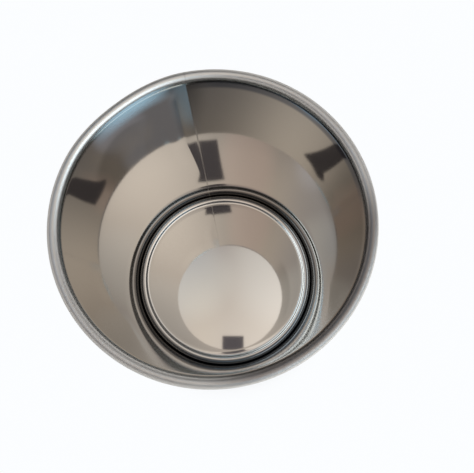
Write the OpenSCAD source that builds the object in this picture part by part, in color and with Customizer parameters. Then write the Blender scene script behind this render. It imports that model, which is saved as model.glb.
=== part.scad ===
// Open-top cylindrical bin in polished stainless sheet.
// One sheet is rolled into a cylinder and butt-welded, and its mouth is curled outward over a wire.
// A pressed base is double-seamed to the lower edge, and the bin stands on that seam.
// Frame: +Z up, origin on the floor at the centre of the base.

/* [Body] */
// Inside diameter of the cylindrical wall
body_id = 240; // [200:1:320]
// Overall height from the floor to the top of the rim
body_h = 312; // [200:1:420]
// Thickness of the rolled sheet and of the base
sheet_t = 0.6; // [0.5:0.05:0.7]
// Direction of the side seam, measured from +X
seam_dir = 101; // [0:1:359]

/* [Rim] */
// Outside diameter of the curled bead
bead_d = 9; // [8.75:0.25:11]
// Radius of the short flare between the wall and the bead
neck_r = 20; // [12:1:50]
// How far the sheet is curled round the wire, in degrees
curl_a = 290; // [270:5:295]
// Diameter of the stiffening wire inside the curl
wire_d = 7.25; // [4:0.25:7.25]

/* [Side weld] */
// Width of the planished weld between the two sheet edges
weld_w = 1.4; // [1:0.1:2.5]
// How far the weld stands proud of both faces of the open wall
weld_proud = 0.08; // [0.05:0.01:0.2]

/* [Base] */
// Height of the edge of the panel's upper face above the floor
panel_z = 10.5; // [9.5:0.5:14]
// Rise of the panel's centre above its edge
panel_dome = 2.1; // [0.5:0.1:5]
// Height of the raised ring above the panel's edge
ring_h = 2.2; // [1.2:0.1:2.6]
// Radius of the shoulder that turns from the ring down beside the wall
shoulder_r = 7; // [5:0.1:8]

/* [Bottom seam] */
// Height of the double seam above the floor
seam_h = 6.6; // [6.2:0.1:8]
// Gap between the layers of the seam
seam_gap = 0.1; // [0.05:0.01:0.12]

/* [Hidden] */
$fn = 96;

// Every radius and height below is to the middle of the sheet.
half_t = sheet_t / 2;
wall_mid = body_id / 2 + half_t;
pitch = sheet_t + seam_gap;
hook_len = 1.4;

// Rim: the bead's circle lies inside the flare's and touches it where the flare leans out 7 in 24.
neck_a = atan2(7, 24);
curl_r = bead_d / 2 - half_t;
curl_c = [wall_mid + neck_r - (neck_r - curl_r) * cos(neck_a), body_h - bead_d / 2];
neck_z = curl_c[1] - (neck_r - curl_r) * sin(neck_a);
neck_c = [wall_mid + neck_r, neck_z];

// Five layers of the double seam, from the inside outward.
chuck_mid = wall_mid - pitch;
base_hook_mid = wall_mid + pitch;
body_hook_mid = wall_mid + 2 * pitch;
skirt_mid = wall_mid + 3 * pitch;
foot_r = 0.9;
foot_c = half_t + foot_r;
body_turn_z = 2 * half_t + seam_gap + pitch + half_t;
base_turn_z = seam_h - half_t - pitch;
body_hook_z = base_turn_z - hook_len;
base_hook_z = body_turn_z + 0.8;

// Base: crown, foot of the slope, ring, shoulder. The slope is 3 in 4 where its two bends meet.
ring_z = panel_z + ring_h - half_t;
ring_mid = chuck_mid - shoulder_r;
edge_z = panel_z - half_t;
ramp_a = atan2(3, 4);
ramp_r = ring_h / (2 - 2 * cos(ramp_a));
panel_r = ring_mid - 2 * ramp_r * sin(ramp_a);
dome_r = (pow(panel_r, 2) + pow(panel_dome, 2)) / (2 * panel_dome);
dome_z = edge_z + panel_dome - dome_r;

weld_a = weld_w / wall_mid * 180 / PI;

// Sheet bent to radius r about the point c, from angle a0 round to a1.
module bend(c, r, a0, a1) {
    steps = ceil(abs(a1 - a0) / 45);
    translate(c)
        intersection() {
            difference() {
                circle(r = r + half_t);
                circle(r = r - half_t);
            }
            polygon(concat(
                [[0, 0]],
                [for (i = [0 : steps]) let (a = a0 + (a1 - a0) * i / steps) 2 * r * [cos(a), sin(a)]]
            ));
        }
}

// Flat sheet between the points p and q.
module run(p, q) {
    translate(p)
        rotate(atan2(q[1] - p[1], q[0] - p[0]))
            translate([0, -half_t])
                square([norm(q - p), sheet_t]);
}

// Section of the body sheet: hook, bottom turn, wall, flare and curl.
module body_section() {
    run([body_hook_mid, body_turn_z], [body_hook_mid, body_hook_z]);
    bend([base_hook_mid, body_turn_z], pitch, 180, 360);
    run([wall_mid, body_turn_z], [wall_mid, neck_z]);
    bend(neck_c, neck_r, 180 - neck_a, 180, $fn = 720);
    bend(curl_c, curl_r, 180 - neck_a - curl_a, 180 - neck_a);
}

// Crown of the panel, from the axis out to the foot of the slope.
module dome_section() {
    intersection() {
        translate([0, dome_z])
            difference() {
                circle(r = dome_r + half_t, $fn = 7200);
                circle(r = dome_r - half_t, $fn = 7200);
            }
        polygon([
            [0, dome_z],
            [0, panel_z + 2 * panel_dome],
            [panel_r, panel_z + 2 * panel_dome],
            [panel_r, edge_z - 2 * sheet_t]
        ]);
    }
}

// Section of the base sheet outside the crown.
module ring_section() {
    bend([panel_r, edge_z + ramp_r], ramp_r, 270, 270 + ramp_a);
    bend([ring_mid, ring_z - ramp_r], ramp_r, 90, 90 + ramp_a);
    bend([ring_mid, ring_z - shoulder_r], shoulder_r, 0, 90);
    run([chuck_mid, foot_c], [chuck_mid, ring_z - shoulder_r]);
    bend([chuck_mid + foot_r, foot_c], foot_r, 180, 270);
    run([chuck_mid + foot_r, half_t], [skirt_mid - foot_r, half_t]);
    bend([skirt_mid - foot_r, foot_c], foot_r, 270, 360);
    run([skirt_mid, foot_c], [skirt_mid, base_turn_z]);
    bend([body_hook_mid, base_turn_z], pitch, 0, 180);
    run([base_hook_mid, base_hook_z], [base_hook_mid, base_turn_z]);
}

// Rolled sheet, open at the side seam by the width of the weld.
module body_shell() {
    color("silver")
        rotate([0, 0, seam_dir + weld_a / 2])
            rotate_extrude(angle = 360 - weld_a, $fn = 240)
                body_section();
}

// Butt weld that closes the side seam, flush in the bottom seam and the rim.
module side_weld() {
    color("gainsboro")
        rotate([0, 0, seam_dir - weld_a / 2])
            rotate_extrude(angle = weld_a, $fn = 240) {
                body_section();
                translate([wall_mid - half_t - weld_proud, ring_z + 4])
                    square([sheet_t + 2 * weld_proud, neck_z - ring_z - 8]);
            }
}

module rim_wire() {
    color("dimgray")
        rotate_extrude($fn = 240)
            translate(curl_c)
                circle(d = wire_d);
}

module base_pan() {
    color("silver")
        rotate_extrude($fn = 240) {
            dome_section();
            ring_section();
        }
}

// Lining compound that fills the seam above the body hook.
module seam_seal() {
    color("black")
        rotate_extrude($fn = 240)
            translate([body_hook_mid - half_t, body_hook_z + 0.05])
                square([sheet_t, hook_len]);
}

body_shell();
side_weld();
rim_wire();
base_pan();
seam_seal();
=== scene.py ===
import math

import bpy
import numpy as np
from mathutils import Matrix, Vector


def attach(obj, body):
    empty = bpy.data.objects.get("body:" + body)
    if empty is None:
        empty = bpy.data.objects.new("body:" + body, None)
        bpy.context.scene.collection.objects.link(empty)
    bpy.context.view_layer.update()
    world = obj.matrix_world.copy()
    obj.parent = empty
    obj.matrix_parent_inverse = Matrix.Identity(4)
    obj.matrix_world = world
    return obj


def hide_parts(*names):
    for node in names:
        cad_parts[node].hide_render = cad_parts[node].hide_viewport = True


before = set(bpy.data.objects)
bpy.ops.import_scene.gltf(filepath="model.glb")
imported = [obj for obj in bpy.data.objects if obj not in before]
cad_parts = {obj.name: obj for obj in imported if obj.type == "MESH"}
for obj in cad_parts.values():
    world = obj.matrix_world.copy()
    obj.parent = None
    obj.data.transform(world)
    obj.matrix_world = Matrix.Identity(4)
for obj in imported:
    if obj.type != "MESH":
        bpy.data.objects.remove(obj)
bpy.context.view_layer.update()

# Sizes of the bin in metres, the same as the CAD part's. MID radii are to the middle of the sheet.
# Seen from the mouth with the weld on the far side, +X is right and +Y is far.
SHEET = 0.0006
HALF = SHEET / 2
BORE_R = 0.120
WALL_MID = BORE_R + HALF
HEIGHT = 0.312
SEAM_DIR = math.radians(101)
WELD_W = 0.0014

# Rim: a short flare, then a curl round the wire.
BEAD_D = 0.009
NECK_R = 0.020
WIRE_D = 0.00725
NECK_A = math.atan2(7, 24)
CURL_A = math.radians(290)
CURL_R = BEAD_D / 2 - HALF
CURL_X = WALL_MID + NECK_R - (NECK_R - CURL_R) * math.cos(NECK_A)
CURL_Z = HEIGHT - BEAD_D / 2
NECK_Z = CURL_Z - (NECK_R - CURL_R) * math.sin(NECK_A)

# Double seam at the bottom, from the inside outward.
SEAM_H = 0.0066
SEAM_GAP = 0.0001
HOOK_LEN = 0.0014
HOOK_LAP = 0.0008
PITCH = SHEET + SEAM_GAP
CHUCK_MID = WALL_MID - PITCH
BASE_HOOK_MID = WALL_MID + PITCH
BODY_HOOK_MID = WALL_MID + 2 * PITCH
SKIRT_MID = WALL_MID + 3 * PITCH
FOOT_R = 0.0009
FOOT_Z = HALF + FOOT_R
BODY_TURN_Z = SHEET + SEAM_GAP + PITCH + HALF
BASE_TURN_Z = SEAM_H - HALF - PITCH
BODY_HOOK_Z = BASE_TURN_Z - HOOK_LEN
BASE_HOOK_Z = BODY_TURN_Z + HOOK_LAP

# Base: domed panel, slope, raised ring, shoulder.
PANEL_Z = 0.0105
RING_H = 0.0022
DOME = 0.0021
SHOULDER_R = 0.007
EDGE_Z = PANEL_Z - HALF
RING_MID = CHUCK_MID - SHOULDER_R
RING_Z = EDGE_Z + RING_H
RAMP_A = math.atan2(3, 4)
RAMP_R = RING_H / (2 - 2 * math.cos(RAMP_A))
PANEL_R = RING_MID - 2 * RAMP_R * math.sin(RAMP_A)
DOME_R = (PANEL_R ** 2 + DOME ** 2) / (2 * DOME)

# How the rolled sheet departs from round. Angles are from the weld.
FLAT_A = math.radians(6)
FLAT_FADE_A = math.radians(9)
FLAT_FROM_Z = 0.06
FLAT_FULL_Z = 0.19
FLAT_TOP_Z = NECK_Z + 0.004
FLAT_TOP_FADE = 0.02
DENT = 0.0018
DENT_AT = math.radians(29)
DENT_A = math.radians(28)
DENT_FROM_Z = 0.23
DENT_FULL_Z = 0.30
LEAN = 0.0009

# Fine meshes: facets in a full turn, and how far the weld stands proud of the sheet.
TURNS = 480
WELD_PROUD = 0.00004

STEEL = (0.64, 0.63, 0.61)
# Painted shade for the crevices at the foot of the wall.
CREVICE_SHADE = (0.42, 0.415, 0.42)
BACKDROP = (0.97, 0.985, 1.0)


def arc(cx, cz, r, a0, a1, step):
    """Points of an arc about a centre, from one angle round to another, in degrees."""
    n = max(2, math.ceil(abs(a1 - a0) / step))
    angles = [math.radians(a0 + (a1 - a0) * i / n) for i in range(n + 1)]
    return [(cx + r * math.cos(a), cz + r * math.sin(a)) for a in angles]


def line(p, q, n):
    """Points of a straight run in n steps."""
    return [(p[0] + (q[0] - p[0]) * i / n, p[1] + (q[1] - p[1]) * i / n) for i in range(n + 1)]


def joined(*runs):
    """One path from several, without the points they share."""
    out = []
    for run in runs:
        for p in run:
            if not out or math.dist(p, out[-1]) > 1e-7:
                out.append(p)
    return out


def body_path():
    """Hook, bottom turn, wall, flare and curl."""
    neck_a = 180 - math.degrees(NECK_A)
    return joined(
        line((BODY_HOOK_MID, BODY_HOOK_Z), (BODY_HOOK_MID, BODY_TURN_Z), 4),
        arc(BASE_HOOK_MID, BODY_TURN_Z, PITCH, 0, -180, 12),
        line((WALL_MID, BODY_TURN_Z), (WALL_MID, NECK_Z), 56),
        arc(WALL_MID + NECK_R, NECK_Z, NECK_R, 180, neck_a, 1.0),
        arc(CURL_X, CURL_Z, CURL_R, neck_a, neck_a - math.degrees(CURL_A), 4.95),
    )


def base_path():
    """Crown, foot of the slope, ring, shoulder, chuck wall, foot, skirt and hook."""
    ramp_a = math.degrees(RAMP_A)
    crown_a = math.degrees(math.asin(PANEL_R / DOME_R))
    return joined(
        arc(0, EDGE_Z + DOME - DOME_R, DOME_R, 90, 90 - crown_a, 0.09),
        arc(PANEL_R, EDGE_Z + RAMP_R, RAMP_R, 270, 270 + ramp_a, 4),
        arc(RING_MID, RING_Z - RAMP_R, RAMP_R, 90 + ramp_a, 90, 4),
        arc(RING_MID, RING_Z - SHOULDER_R, SHOULDER_R, 90, 0, 4),
        line((CHUCK_MID, RING_Z - SHOULDER_R), (CHUCK_MID, FOOT_Z), 6),
        arc(CHUCK_MID + FOOT_R, FOOT_Z, FOOT_R, 180, 270, 10),
        line((CHUCK_MID + FOOT_R, HALF), (SKIRT_MID - FOOT_R, HALF), 2),
        arc(SKIRT_MID - FOOT_R, FOOT_Z, FOOT_R, -90, 0, 10),
        line((SKIRT_MID, FOOT_Z), (SKIRT_MID, BASE_TURN_Z), 6),
        arc(BODY_HOOK_MID, BASE_TURN_Z, PITCH, 0, 180, 12),
        line((BASE_HOOK_MID, BASE_TURN_Z), (BASE_HOOK_MID, BASE_HOOK_Z), 4),
    )


def sheet(path, half=HALF):
    """Closed outline of a sheet whose middle follows the path."""
    p = np.array(path)
    d = np.diff(p, axis=0)
    d /= np.linalg.norm(d, axis=1)[:, None]
    n = np.stack([-d[:, 1], d[:, 0]], 1)
    m = np.vstack([n[:1], n[:-1] + n[1:], n[-1:]])
    m /= np.linalg.norm(m, axis=1)[:, None]
    return np.vstack([p + m * half, (p - m * half)[::-1]])


def ease(v):
    """0 below 0, 1 above 1, and smooth between."""
    v = np.clip(v, 0, 1)
    return v * v * (3 - 2 * v)


def bent(r, z, ang):
    """Radii of the rolled sheet, which is not quite round.

    It is flat beside the weld, pushed in at one place of the mouth, and leans a little.
    """
    past_weld = np.mod(ang - SEAM_DIR, 2 * math.pi)
    above_base = np.clip((z - FLAT_FROM_Z) / (FLAT_FULL_Z - FLAT_FROM_Z), 0, 1)
    below_bead = np.clip((FLAT_TOP_Z - z) / FLAT_TOP_FADE, 0, 1)
    reach = FLAT_A * above_base * below_bead
    chord = 1 / np.cos(np.minimum(past_weld, reach)) - 1
    flat = r * chord * (1 - ease((past_weld - reach) / FLAT_FADE_A))
    up = ease((z - DENT_FROM_Z) / (DENT_FULL_Z - DENT_FROM_Z))
    dent = DENT * up * (1 - ease(np.abs(past_weld - DENT_AT) / DENT_A))
    lean = LEAN * np.cos(ang) * z / HEIGHT
    return r + flat - dent + lean


def lathe(name, outline, start=0.0, sweep=None, turns=TURNS, warp=None):
    """Revolves a closed outline about Z, through a full turn if no sweep is given."""
    points = np.array(outline)
    k = len(points)
    closed = sweep is None
    columns = turns if closed else turns + 1
    angles = start + (2 * math.pi if closed else sweep) * np.arange(columns) / turns
    r = np.repeat(points[None, :, 0], columns, 0)
    z = np.repeat(points[None, :, 1], columns, 0)
    if warp:
        r = warp(r, z, angles[:, None])
    x = r * np.cos(angles)[:, None]
    y = r * np.sin(angles)[:, None]
    faces = []
    for c in range(turns):
        a = c * k
        b = (c + 1) % columns * k
        for i in range(k):
            j = (i + 1) % k
            faces.append((a + i, b + i, b + j, a + j))
    if not closed:
        faces.append(tuple(range(k)))
        faces.append(tuple((columns - 1) * k + i for i in reversed(range(k))))
    mesh = bpy.data.meshes.new(name)
    mesh.from_pydata(np.stack([x, y, z], -1).reshape(-1, 3).tolist(), [], faces)
    mesh.validate()
    mesh.update()
    mesh.polygons.foreach_set("use_smooth", [True] * len(mesh.polygons))
    mesh.set_sharp_from_angle(angle=math.radians(40))
    return placed(name, mesh)


def placed(name, data):
    """A new object in the scene."""
    obj = bpy.data.objects.new(name, data)
    bpy.context.scene.collection.objects.link(obj)
    return obj


class Nodes:
    """Short calls for building a node tree out of arithmetic."""

    def __init__(self, tree):
        self.tree = tree

    def new(self, kind, **settings):
        node = self.tree.nodes.new(kind)
        for key, value in settings.items():
            setattr(node, key, value)
        return node

    def feed(self, node, i, value):
        """Sets an input to a number or a tuple, or links it to an output."""
        if isinstance(value, (int, float, tuple)):
            node.inputs[i].default_value = value
        else:
            self.tree.links.new(value, node.inputs[i])

    def made(self, kind, out, *values, **settings):
        """An output of a new node with its first inputs fed."""
        node = self.new(kind, **settings)
        for i, value in enumerate(values):
            self.feed(node, i, value)
        return node.outputs[out]

    def math(self, op, *values):
        return self.made("ShaderNodeMath", 0, *values, operation=op)

    def product(self, first, *others):
        for other in others:
            first = self.math("MULTIPLY", first, other)
        return first

    def dot(self, a, b):
        return self.made("ShaderNodeVectorMath", "Value", a, b, operation="DOT_PRODUCT")

    def scaled(self, v, by):
        return self.made("ShaderNodeVectorMath", 0, v, by, operation="MULTIPLY")

    def toward(self, place, azimuth):
        """How far a place lies out from the axis in a level direction, in degrees from +X."""
        return self.dot(place, direction(azimuth, 90))

    def smooth(self, v, lo, hi, out_lo=0.0, out_hi=1.0):
        return self.made("ShaderNodeMapRange", 0, v, lo, hi, out_lo, out_hi, interpolation_type="SMOOTHSTEP")

    def noise(self, where, detail=3.0):
        node = self.new("ShaderNodeTexNoise")
        node.inputs["Scale"].default_value = 1.0
        node.inputs["Detail"].default_value = detail
        self.tree.links.new(where, node.inputs["Vector"])
        return node.outputs[0]

    def bump(self, v, distance):
        node = self.new("ShaderNodeBump")
        node.inputs["Distance"].default_value = distance
        self.tree.links.new(v, node.inputs["Height"])
        return node.outputs[0]

    def mix(self, fac, a, b, blend="MIX"):
        """Blends two colours, each an output or a tuple of three."""
        node = self.new("ShaderNodeMix", data_type="RGBA", blend_type=blend)
        self.feed(node, 0, fac)
        for i, color in ((6, a), (7, b)):
            self.feed(node, i, (*color, 1) if isinstance(color, tuple) else color)
        return node.outputs[2]

    def mix_shader(self, fac, a, b):
        return self.made("ShaderNodeMixShader", 0, fac, a, b)


def direction(azimuth, zenith):
    """Unit vector at an angle from +X, and at an angle from straight up, in degrees."""
    a = math.radians(azimuth)
    z = math.radians(zenith)
    return (math.cos(a) * math.sin(z), math.sin(a) * math.sin(z), math.cos(z))


def steel(name, color, rough):
    """Plain polished metal, its node arithmetic and its main shader."""
    mat = bpy.data.materials.new(name)
    mat.use_nodes = True
    shader = mat.node_tree.nodes["Principled BSDF"]
    shader.inputs["Metallic"].default_value = 1
    shader.inputs["Base Color"].default_value = (*color, 1)
    shader.inputs["Roughness"].default_value = rough
    shader.inputs["Specular Tint"].default_value = (0.72, 0.70, 0.68, 1)
    return mat, Nodes(mat.node_tree), shader


def on_bead(t, height, lo=0.0, hi=1.0):
    """Goes from lo to hi across the middle of the bead's height."""
    return t.smooth(height, CURL_Z - 0.002, CURL_Z + 0.001, lo, hi)


def sheet_material():
    """Body: mirror polish with buffing marks, a worn bead, a darker patch, painted shade low down, on the
    bead and at the flare, and satin patches inside with a painted bluish sheen.
    """
    mat, t, polish = steel("polished_sheet", STEEL, 0.035)
    geo = t.new("ShaderNodeNewGeometry")
    place = geo.outputs["Position"]
    normal = geo.outputs["Normal"]
    height = t.dot(place, (0, 0, 1))
    inside = t.math("LESS_THAN", t.dot(place, normal), 0.0)
    rim = on_bead(t, height)

    polished = t.smooth(t.noise(t.scaled(place, (60, 60, 1800))), 0.3, 0.7, 0.028, 0.042)
    worn = t.smooth(t.noise(t.scaled(place, (500, 500, 900)), 2.0), 0.3, 0.7, 0.38, 0.46)
    wall = t.math("SUBTRACT", 1.0, rim)
    t.feed(polish, "Roughness", t.math("ADD", t.product(rim, worn), t.product(wall, polished)))
    t.feed(polish, "Normal", t.bump(t.noise(t.scaled(place, (25, 25, 12)), 1.0), 0.00001))

    # A darker patch of the wall on the right, and painted shade on the top of the bead on the near right.
    darker_patch = t.product(
        t.smooth(t.toward(place, 0), 0.100, 0.116),
        t.smooth(height, 0.17, 0.21),
        t.smooth(height, NECK_Z, NECK_Z - 0.01),
        inside,
    )
    bead_top = t.smooth(t.dot(t.scaled(place, (8, 8, 0)), normal), 0.85, 0.40)
    bead_shade = t.product(t.smooth(t.toward(place, -38), 0.070, 0.105), rim, bead_top)
    # Painted shade on the lowest stretch of the wall, darker on the near side, and a band of painted shade
    # at the flare on the far right.
    low_shade = t.product(t.smooth(height, 0.060, 0.050), inside)
    near_shade = t.product(low_shade, t.smooth(t.toward(place, -68), 0.060, 0.105))
    neck_shade = t.product(
        t.smooth(height, NECK_Z - 0.009, NECK_Z - 0.004),
        t.smooth(height, NECK_Z + 0.005, NECK_Z + 0.002),
        t.smooth(t.toward(place, 52), 0.070, 0.100),
        inside,
    )
    # Base colour: the darker patch, then painted shade on the bead top, the lowest wall, its near side and
    # the flare.
    tone = STEEL
    for mask, color in (
        (darker_patch, (0.44, 0.43, 0.41)),
        (bead_shade, (0.28, 0.26, 0.25)),
        (low_shade, CREVICE_SHADE),
        (near_shade, (0.27, 0.29, 0.32)),
        (neck_shade, (0.27, 0.29, 0.33)),
    ):
        tone = t.mix(mask, tone, color)
    t.feed(polish, "Base Color", tone)

    # A satin finish beside the weld and, below the mouth, on the far left, with a painted bluish sheen of
    # the window.
    seam = math.degrees(SEAM_DIR)
    past_weld = t.toward(place, seam + 90)
    beside_weld = t.product(
        t.smooth(past_weld, 0.022, 0.002),
        t.math("GREATER_THAN", past_weld, 0.0),
        t.math("GREATER_THAN", t.toward(place, seam), 0.0),
        t.smooth(height, 0.215, 0.26),
        t.smooth(height, CURL_Z, NECK_Z),
        inside,
    )
    haze_and_sheen = t.product(
        t.smooth(t.toward(place, 127), 0.111, 0.122),
        t.smooth(height, 0.286, 0.304),
        t.smooth(height, CURL_Z + 0.003, CURL_Z),
        inside,
    )
    # Diffuse satin, its bluish colour a painted sheen.
    satin_and_sheen = t.made("ShaderNodeBsdfDiffuse", 0, (0.42, 0.64, 0.78, 1))
    amount = t.math("MAXIMUM", t.product(beside_weld, 0.14), t.product(haze_and_sheen, 0.65))
    t.feed(mat.node_tree.nodes["Material Output"], 0, t.mix_shader(amount, polish.outputs[0], satin_and_sheen))
    return mat


def base_material():
    """Base: polished in rings round the axis, a little rougher on the raised ring, with painted shade in the
    crevice.
    """
    mat, t, polish = steel("polished_base", STEEL, 0.045)
    place = t.new("ShaderNodeNewGeometry").outputs["Position"]
    flat = t.scaled(place, (1, 1, 0))
    radius = t.math("SQRT", t.dot(flat, flat))
    where = t.made(
        "ShaderNodeCombineXYZ",
        0,
        t.product(radius, 1400.0),
        t.product(t.dot(place, (1, 0, 0)), 20.0),
        t.product(t.dot(place, (0, 1, 0)), 20.0),
    )
    grain = t.noise(where)
    panel = t.smooth(grain, 0.3, 0.7, 0.035, 0.055)
    ring = t.smooth(radius, PANEL_R - 0.003, PANEL_R + 0.001, 0.0, 0.09)
    t.feed(polish, "Roughness", t.math("ADD", panel, ring))
    t.feed(polish, "Normal", t.bump(grain, 0.0000001))
    # Painted shade in the crevice beside the wall.
    t.feed(polish, "Base Color", t.mix(t.smooth(radius, RING_MID + 0.005, RING_MID + 0.007), STEEL, CREVICE_SHADE))
    return mat


def grainy(name, color, rough, spread, scale, relief, bead_rough=0.0):
    """Metal whose roughness, shade and relief follow a fine noise. The bead can be rougher than the rest."""
    mat, t, shader = steel(name, color, rough)
    place = t.new("ShaderNodeNewGeometry").outputs["Position"]
    grain = t.noise(t.scaled(place, (scale, scale, scale)))
    finish = t.smooth(grain, 0.3, 0.7, rough - spread, rough + spread)
    bead = on_bead(t, t.dot(place, (0, 0, 1)), 0.0, bead_rough)
    t.feed(shader, "Roughness", t.math("ADD", finish, bead))
    t.feed(shader, "Normal", t.bump(grain, relief))
    shade = tuple(0.9 * c for c in color)
    t.feed(shader, "Base Color", t.mix(t.smooth(grain, 0.35, 0.65), shade, color))
    return mat


def weld_material():
    return grainy("weld", (0.60, 0.59, 0.57), 0.14, 0.05, 900, 0.00001, bead_rough=0.28)


def wire_material():
    return grainy("wire", (0.5, 0.5, 0.5), 0.35, 0.08, 600, 0.00001)


def compound_material():
    mat = grainy("compound", (0.05, 0.05, 0.05), 0.6, 0.1, 700, 0.00003)
    mat.node_tree.nodes["Principled BSDF"].inputs["Metallic"].default_value = 0
    return mat


def add_bin():
    """The bin's sheets, weld and wire as fine meshes. The lining compound keeps its CAD shape."""
    weld_a = WELD_W / WALL_MID
    body = body_path()
    wire = arc(CURL_X, CURL_Z, WIRE_D / 2, 0, 345, 15)
    shell = lathe("body_sheet", sheet(body), SEAM_DIR + weld_a / 2, 2 * math.pi - weld_a, warp=bent)
    base = lathe("base_sheet", sheet(base_path()))
    weld = lathe("weld_bead", sheet(body, HALF + WELD_PROUD), SEAM_DIR - weld_a / 2, weld_a, 6, bent)
    core = lathe("wire", wire, warp=bent)
    for obj, mat, node, slot in (
        (shell, sheet_material(), "body_shell", "polished_sheet"),
        (base, base_material(), "base_pan", "polished_base"),
        (weld, weld_material(), "side_weld", "weld"),
        (core, wire_material(), "rim_wire", "wire"),
    ):
        obj.data.materials.append(mat)
        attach(obj, "root")
        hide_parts(node)
    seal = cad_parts["seam_seal"]
    seal.data.materials.clear()
    seal.data.materials.append(compound_material())


def add_camera():
    """Above the near edge of the mouth, tipped towards the far side."""
    data = bpy.data.cameras.new("camera")
    data.sensor_width = 36
    data.lens = 35.706
    data.clip_start = 0.01
    camera = placed("camera", data)
    camera.location = (0.0242, -0.1038, 0.6617)
    camera.rotation_euler = (math.radians(13.8828), math.radians(0.6452), 0)
    bpy.context.scene.camera = camera
    return camera


def set_light_paths():
    """Plain colours, and enough bounces for the sheets to mirror each other."""
    scene = bpy.context.scene
    scene.view_settings.view_transform = "Standard"
    scene.cycles.max_bounces = 32
    scene.cycles.glossy_bounces = 32
    scene.cycles.min_light_bounces = 8
    scene.cycles.sample_clamp_indirect = 0


# Colour of the room by the sine of the angle above the horizon: pale walls, a dark band, a dim ceiling.
ROOM_BANDS = (
    (0.00, (0.61, 0.61, 0.61)),
    (0.10, (0.86, 0.81, 0.77)),
    (0.22, (0.80, 0.75, 0.71)),
    (0.44, (0.50, 0.47, 0.46)),
    (0.58, (0.11, 0.115, 0.125)),
    (0.74, (0.15, 0.155, 0.165)),
    (0.83, (0.31, 0.29, 0.29)),
    (0.93, (0.40, 0.36, 0.33)),
    (1.00, (0.27, 0.24, 0.22)),
)

# Wide glows overhead: azimuth, zenith angle, how narrow, added colour.
GLOWS = (
    (-25, 20, 9.0, (1.05, 0.955, 0.85)),
    (185, 17, 30.0, (0.26, 0.21, 0.17)),
)

# Round soft patches: azimuth, zenith angle, full within, none beyond, strength, colour, blend.
SPOTS = (
    (150, 32, 8, 30, 0.75, (0.46, 0.47, 0.54), "MIX"),
    (50, 13, 3, 12, 0.50, (0.20, 0.25, 0.28), "ADD"),
    (175, 15, 4, 14, 1.0, (0.13, 0.11, 0.07), "ADD"),
    (240, 20, 3, 11, 1.0, (0.16, 0.08, 0.06), "ADD"),
    (135, 12, 2, 9, 1.0, (0.14, 0.16, 0.15), "ADD"),
    (182, 28, 2, 10, 1.0, (0.17, 0.19, 0.25), "ADD"),
    (261, 42, 4, 14, 0.7, (0.05, 0.05, 0.05), "MIX"),
    (115, 56, 16, 34, 0.85, (0.06, 0.06, 0.06), "MIX"),
    (75, 86, 14, 34, 0.6, (0.95, 0.93, 0.90), "MIX"),
    (137, 22, 0.5, 4, 1.0, (1.4, 2.2, 2.7), "MIX"),
)

# Windows: azimuth, zenith angle, half width and half height as tangents, soft edge, colour.
WINDOWS = (
    (150, 38, 0.30, 0.03, 0.06, (0.40, 0.58, 0.72)),
    (-33, 52, 0.62, 0.30, 0.08, (1.2, 1.8, 2.2)),
    (-33, 50, 0.52, 0.18, 0.08, (2.8, 3.0, 3.1)),
)


def spot(t, ray, azimuth, zenith, full, zero):
    """1 within an angle of a direction, 0 beyond a larger one."""
    cosine = t.dot(ray, direction(azimuth, zenith))
    return t.smooth(cosine, math.cos(math.radians(zero)), math.cos(math.radians(full)))


def pane(t, ray, azimuth, zenith, half_w, half_h, soft):
    """1 inside a rectangle seen in a direction, its sides level and upright, falling to 0 over soft."""
    ahead = Vector(direction(azimuth, zenith))
    across = ahead.cross(Vector((0, 0, 1))).normalized()
    facing = t.dot(ray, tuple(ahead))
    depth = t.math("MAXIMUM", facing, 0.01)
    sides = []
    for axis, half in ((across, half_w), (across.cross(ahead), half_h)):
        off = t.math("ABSOLUTE", t.math("DIVIDE", t.dot(ray, tuple(axis)), depth))
        sides.append(t.smooth(off, half + soft, half))
    return t.product(*sides, t.smooth(facing, 0.0, 0.2))


def add_room():
    """A soft room for the polish to mirror. The camera itself sees only a pale backdrop."""
    world = bpy.data.worlds.new("room")
    bpy.context.scene.world = world
    world.use_nodes = True
    world.node_tree.nodes.clear()
    t = Nodes(world.node_tree)
    ray = t.new("ShaderNodeTexCoord").outputs["Generated"]
    ramp = t.new("ShaderNodeValToRGB")
    t.feed(ramp, 0, t.dot(ray, (0, 0, 1)))
    stops = ramp.color_ramp.elements
    stops[0].color = (*ROOM_BANDS[0][1], 1)
    stops[1].color = (*ROOM_BANDS[-1][1], 1)
    for height, color in ROOM_BANDS[1:-1]:
        stops.new(height).color = (*color, 1)
    light = ramp.outputs[0]
    for azimuth, zenith, power, color in GLOWS:
        facing = t.math("MAXIMUM", t.dot(ray, direction(azimuth, zenith)), 0.0)
        light = t.mix(t.math("POWER", facing, power), light, color, "ADD")
    for azimuth, zenith, full, zero, strength, color, blend in SPOTS:
        amount = t.product(spot(t, ray, azimuth, zenith, full, zero), strength)
        light = t.mix(amount, light, color, blend)
    for azimuth, zenith, half_w, half_h, soft, color in WINDOWS:
        light = t.mix(pane(t, ray, azimuth, zenith, half_w, half_h, soft), light, color)
    seen = t.new("ShaderNodeLightPath").outputs["Is Camera Ray"]
    back = t.made("ShaderNodeBackground", 0, t.mix(seen, light, BACKDROP))
    t.feed(t.new("ShaderNodeOutputWorld"), 0, back)


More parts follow.
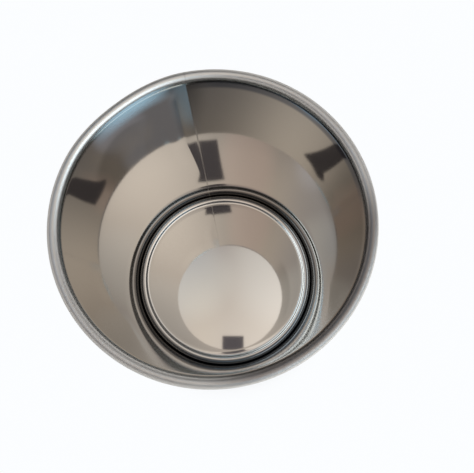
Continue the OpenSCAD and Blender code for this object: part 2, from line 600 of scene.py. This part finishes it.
def slab_material(middle, half, soft):
    """Near black, and fading out over the last stretch before each edge."""
    mat = bpy.data.materials.new("camera_slab")
    mat.use_nodes = True
    dark = mat.node_tree.nodes["Principled BSDF"]
    dark.inputs["Base Color"].default_value = (0.02, 0.018, 0.02, 1)
    dark.inputs["Roughness"].default_value = 0.6
    dark.inputs["Emission Color"].default_value = (0.095, 0.082, 0.088, 1)
    dark.inputs["Emission Strength"].default_value = 1
    t = Nodes(mat.node_tree)
    place = t.new("ShaderNodeTexCoord").outputs["Object"]
    solid = []
    for i, axis in enumerate(((1, 0, 0), (0, 1, 0))):
        off = t.math("ABSOLUTE", t.math("SUBTRACT", t.dot(place, axis), middle[i]))
        solid.append(t.smooth(off, half[i], half[i] - soft))
    clear = t.new("ShaderNodeBsdfTransparent").outputs[0]
    mixed = t.mix_shader(t.product(*solid), clear, dark.outputs[0])
    t.feed(mat.node_tree.nodes["Material Output"], 0, mixed)
    return mat


def add_slab(camera):
    """A dark slab just behind the eye stands for the camera that looks in, for the polish to mirror."""
    middle = (-0.020, -0.07075)
    half = (0.039, 0.07925)
    behind = 0.004
    corners = ((-1, -1), (1, -1), (1, 1), (-1, 1))
    points = [(middle[0] + half[0] * i, middle[1] + half[1] * j, behind) for i, j in corners]
    mesh = bpy.data.meshes.new("camera_slab")
    mesh.from_pydata(points, [], [(0, 1, 2, 3)])
    slab = placed("camera_slab", mesh)
    slab.location = camera.location
    slab.rotation_euler = camera.rotation_euler
    slab.visible_camera = False
    slab.visible_shadow = False
    mesh.materials.append(slab_material(middle, half, 0.007))


def floor_material():
    """Matt and pale. Seen directly it is as light as the backdrop, with a painted contact shadow where the
    bin stands.
    """
    mat = bpy.data.materials.new("floor")
    mat.use_nodes = True
    mat.node_tree.nodes.clear()
    t = Nodes(mat.node_tree)
    open_sky = t.new("ShaderNodeAmbientOcclusion", samples=12)
    open_sky.inputs["Distance"].default_value = 0.05
    # Painted contact shadow: the backdrop colour darkens with ambient occlusion near the bin.
    light = t.smooth(open_sky.outputs["AO"], 0.35, 0.98)
    seen = t.made("ShaderNodeEmission", 0, t.mix(light, (0.45, 0.45, 0.46), BACKDROP))
    matt = t.made("ShaderNodeBsdfDiffuse", 0, (0.80, 0.79, 0.78, 1))
    direct = t.new("ShaderNodeLightPath").outputs["Is Camera Ray"]
    t.feed(t.new("ShaderNodeOutputMaterial"), 0, t.mix_shader(direct, matt, seen))
    return mat


def add_floor():
    bpy.ops.mesh.primitive_plane_add(size=12, location=(0, 0, 0))
    floor = bpy.context.object
    floor.name = "floor"
    floor.data.materials.append(floor_material())


def add_softbox():
    """A square lamp that faces the bin from the side of the large window."""
    data = bpy.data.lights.new("softbox", "AREA")
    data.shape = "SQUARE"
    data.size = 1.0
    data.energy = 19
    toward = Vector(direction(-33, 50))
    lamp = placed("softbox", data)
    lamp.location = toward * 1.6
    lamp.rotation_euler = toward.to_track_quat("Z", "Y").to_euler()
    lamp.visible_glossy = False
    lamp.visible_camera = False


add_bin()
view_camera = add_camera()
set_light_paths()
add_room()
add_slab(view_camera)
add_floor()
add_softbox()
